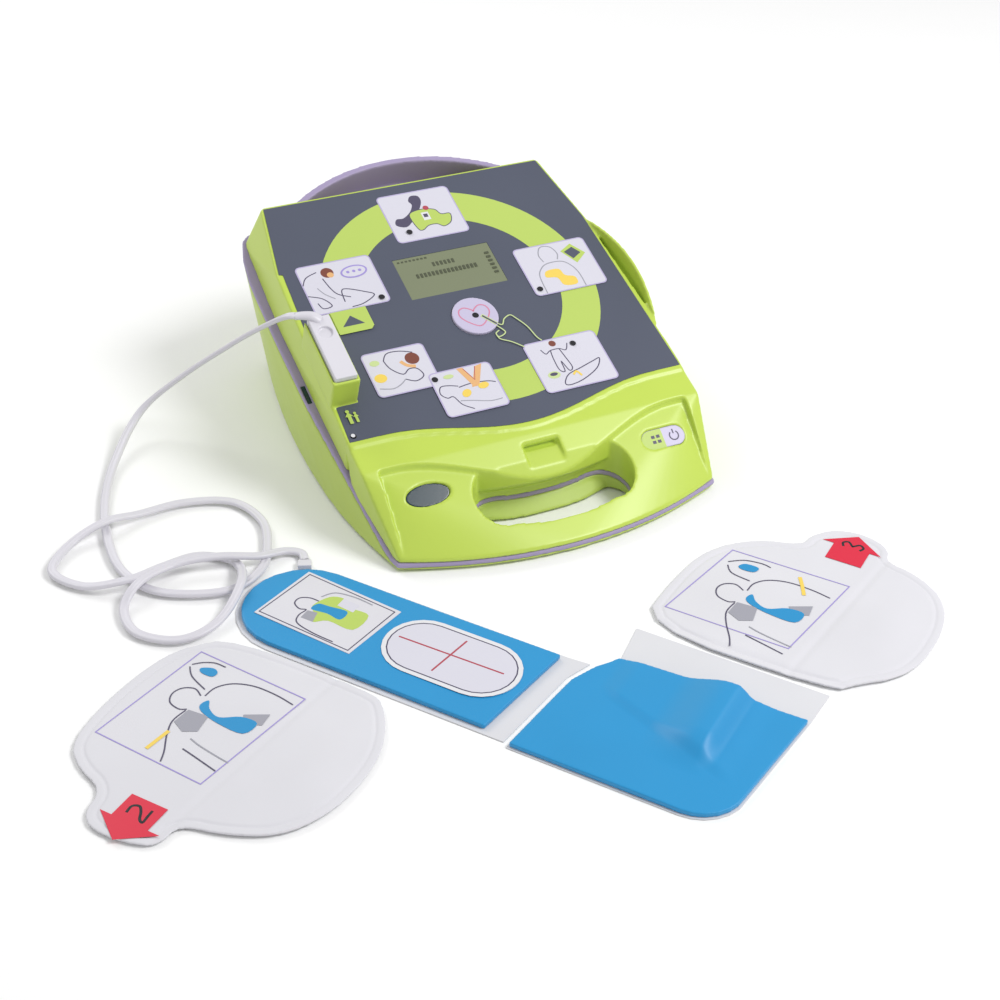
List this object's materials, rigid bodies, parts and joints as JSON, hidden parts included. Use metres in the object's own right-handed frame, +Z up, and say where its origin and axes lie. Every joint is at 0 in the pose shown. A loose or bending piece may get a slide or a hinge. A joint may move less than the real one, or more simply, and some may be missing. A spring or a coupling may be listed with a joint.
{
  "type": "defibrillator",
  "caption": "Wedge-shaped portable defibrillator with a sloping pictogram panel, front hand hole, plugged-in cord and one-piece chest pads with fold-out wings.",
  "frame": {"origin": "middle of the unit's footprint on the surface it rests on", "axes": "+Z up, +Y from the hand hole towards the rear bumper, +X to the operator's right"},
  "size_m": [0.4902, 0.522, 0.1296],
  "materials": {
    "green_shell": "satin moulded plastic, fresh green",
    "green_base": "satin moulded plastic, fresh green",
    "lavender": "soft satin elastomer, lavender",
    "panel_film": "fine matt film, slate grey",
    "clear_window": "clear, slightly tinted",
    "lcd_glass": "grey-green display",
    "button_lavender": "satin, pale lavender",
    "dark_window": "gloss, dark smoke",
    "led_lens": "gloss, dark lens",
    "circuit_board": "solder resist green",
    "component_black": "moulded black",
    "tinned_metal": "bright tin plate",
    "capacitor_sleeve": "shrink sleeve, blue",
    "copper_winding": "enamelled copper",
    "relay_case": "ivory moulding",
    "cell_sleeve": "printed sleeve, plain yellow",
    "lead_red": "insulated wire, red",
    "rubber_black": "plain rubber",
    "steel": "zinc plated",
    "plate_blank": "blank satin plate",
    "white_plastic": "satin white",
    "gold_contact": "gold plate",
    "cord_sheath": "soft satin sheath, white",
    "pad_liner": "thin satin liner, white",
    "pad_blue": "foam faced with smooth film, blue",
    "label_white": "printed label, white",
    "pad_sheet": "soft non-woven sheet, white",
    "gel": "clear gel sheet, satin"
  },
  "bodies": {
    "unit": {"upper_housing": "green_shell", "lower_shell": "green_base", "gasket": "lavender", "infrared_window": "dark_window", "rear_bumper": "lavender", "panel_overlay": "panel_film", "lcd_window": "clear_window", "lcd_module": "lcd_glass", "status_window": "dark_window", "status_display": "lcd_glass", "panel_leds": "led_lens", "main_board": "circuit_board", "board_chips": "component_black", "dome_switches": "tinned_metal", "switch_board": "circuit_board", "storage_capacitor": "capacitor_sleeve", "charging_coil": "copper_winding", "output_relay": "relay_case", "power_board": "circuit_board", "loudspeaker": "component_black", "microphone": "tinned_metal", "battery_cells": "cell_sleeve", "battery_contacts": "tinned_metal", "battery_lead": "lead_red", "hinge_pin": "steel", "rating_plate": "plate_blank", "rubber_feet": "rubber_black", "case_screws": "steel", "socket_pins": "gold_contact", "cord": "cord_sheath", "pad_tab": "white_plastic", "near_liner": "pad_liner", "near_cover": "pad_blue", "target_label": "label_white", "picture_card": "label_white", "compression_sensor": "component_black", "hinge_strip": "pad_liner"},
    "shock_button": {"shock_button": "button_lavender"},
    "power_button": {"power_button": "button_lavender"},
    "plug": {"plug_body": "white_plastic", "plug_relief": "cord_sheath"},
    "battery_door": {"battery_door": "green_base"},
    "far_pad": {"far_liner": "pad_liner", "far_cover": "pad_blue"},
    "near_wing": {"near_wing": "pad_sheet", "near_gel": "gel"},
    "far_wing": {"far_wing": "pad_sheet", "far_gel": "gel"}
  },
  "joints": [
    {"name": "shock_press", "type": "slide", "parent": "unit", "child": "shock_button", "axis": [0, 0.342, -0.9397], "range_m": [0, 0.0012], "stiffness_N_per_m": 3000, "springref_m": -0.001},
    {"name": "power_press", "type": "slide", "parent": "unit", "child": "power_button", "axis": [0, 0.5888, -0.8083], "range_m": [0, 0.0012], "stiffness_N_per_m": 2500, "springref_m": -0.001},
    {"name": "plug_slide", "type": "slide", "parent": "unit", "child": "plug", "axis": [0, 0.9397, 0.342], "range_m": [0, 0.02], "deforming": ["cord"]},
    {"name": "battery_door_hinge", "type": "hinge", "parent": "unit", "child": "battery_door", "pos_m": [0, 0.109, 0.003], "axis": [1, 0, 0], "range_deg": [0, 95]},
    {"name": "pad_fold", "type": "hinge", "parent": "unit", "child": "far_pad", "pos_m": [-0.07887, -0.25844, 0], "axis": [-0.8627, -0.5058, 0], "range_deg": [0, 45]},
    {"name": "near_wing_fold", "type": "hinge", "parent": "unit", "child": "near_wing", "pos_m": [-0.18741, -0.17608, 0], "axis": [-0.5878, 0.809, 0], "range_deg": [0, 90]},
    {"name": "far_wing_fold", "type": "hinge", "parent": "far_pad", "child": "far_wing", "pos_m": [0.03041, -0.27121, 0], "axis": [0.5878, -0.809, 0], "range_deg": [0, 90]}
  ]
}
